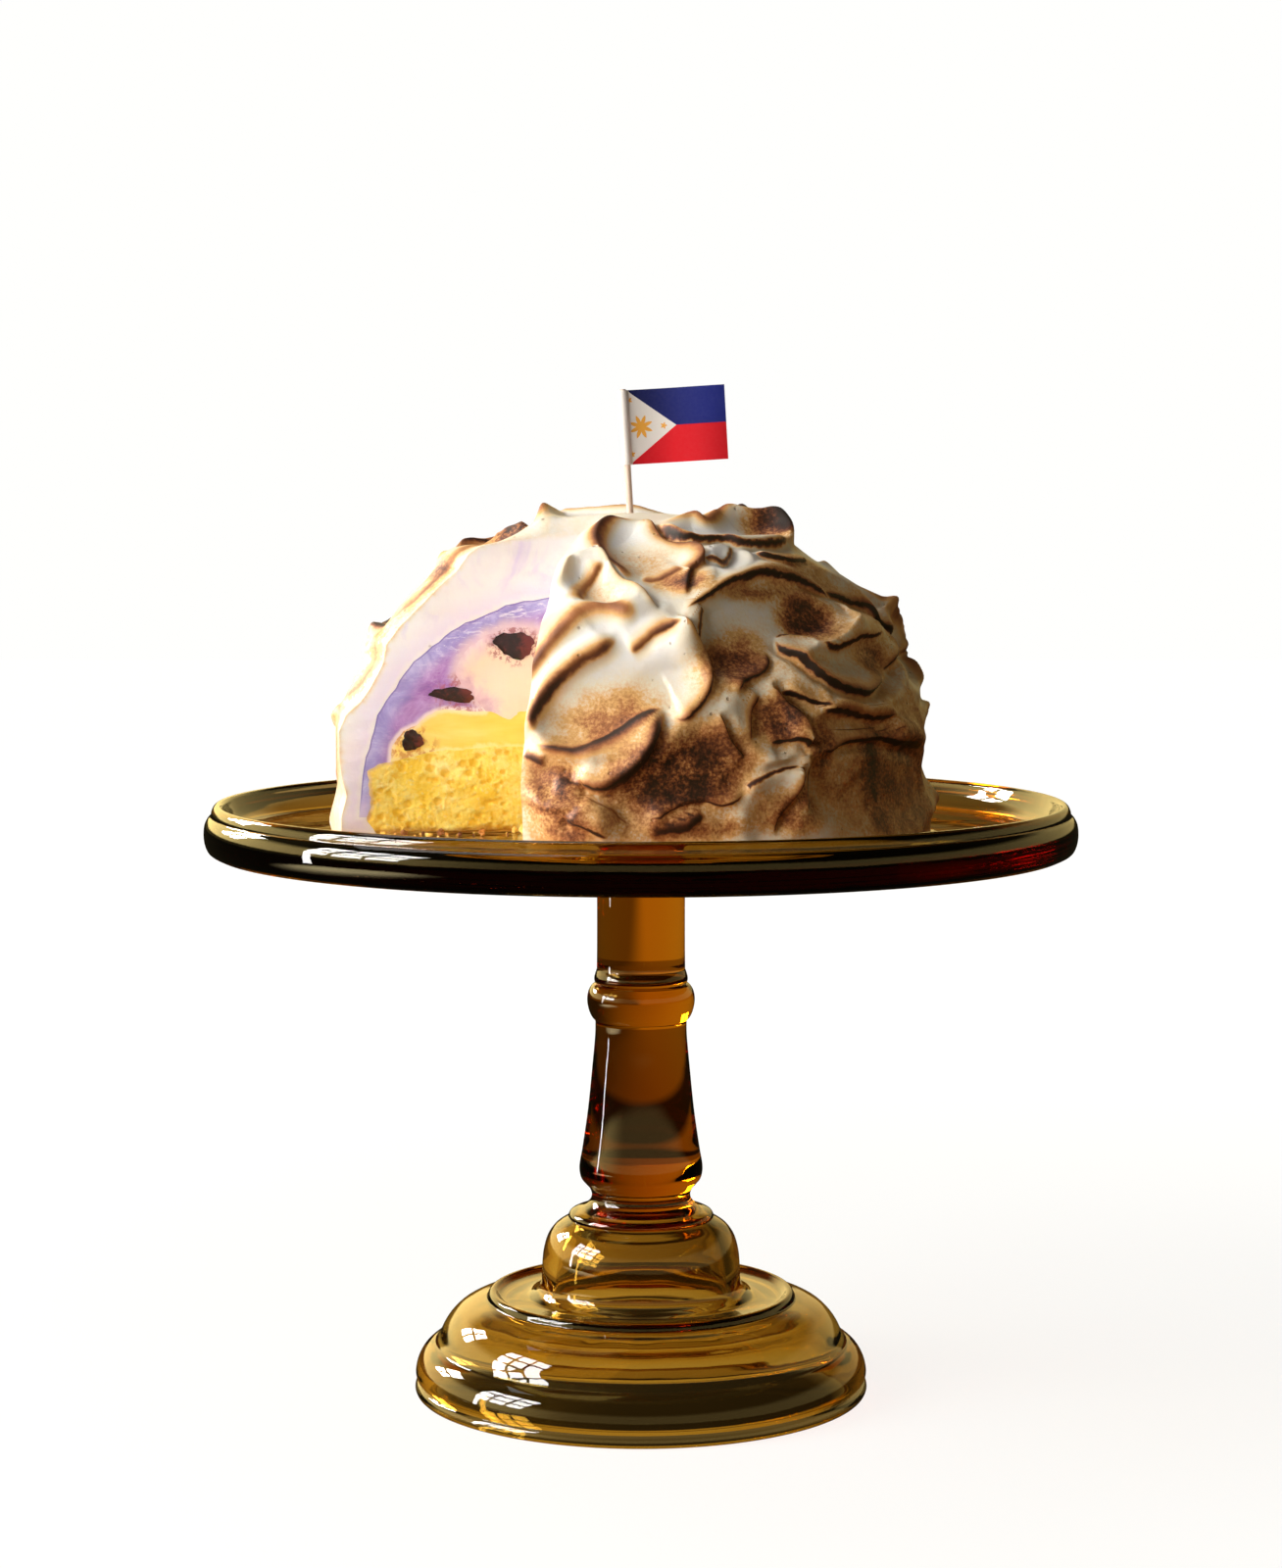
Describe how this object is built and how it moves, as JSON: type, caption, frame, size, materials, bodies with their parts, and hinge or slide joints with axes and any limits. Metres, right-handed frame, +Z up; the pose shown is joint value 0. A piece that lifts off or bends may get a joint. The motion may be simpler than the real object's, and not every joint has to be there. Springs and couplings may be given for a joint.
{
  "type": "baked alaska on a glass cake stand",
  "caption": "Domed ice cream cake under swirled, torched meringue with a slice taken out, on a tall footed glass stand, with a paper flag on a pick.",
  "frame": {"origin": "middle of the ring that the stand's foot rests on, at table height", "axes": "+Z up, -Y to the front, where the open slice is on the left"},
  "size_m": [0.305, 0.305, 0.3556],
  "materials": {
    "amber_glass": "gloss",
    "torched_meringue": "satin",
    "ube_ice_cream": "satin",
    "coconut_ice_cream": "satin",
    "mango": "satin",
    "sponge": "matte",
    "cherry": "gloss",
    "pick_wood": "matte",
    "flag_paper": "satin"
  },
  "bodies": {
    "root": {"cake_stand": "amber_glass", "meringue": "torched_meringue", "ube_ice_cream": "ube_ice_cream", "coconut_ice_cream": "coconut_ice_cream", "mango_layer": "mango", "sponge_cake": "sponge", "cherry_1": "cherry", "cherry_2": "cherry", "cherry_3": "cherry", "cherry_4": "cherry", "cherry_5": "cherry", "flag_pick": "pick_wood", "flag_paper": "flag_paper"}
  },
  "joints": []
}
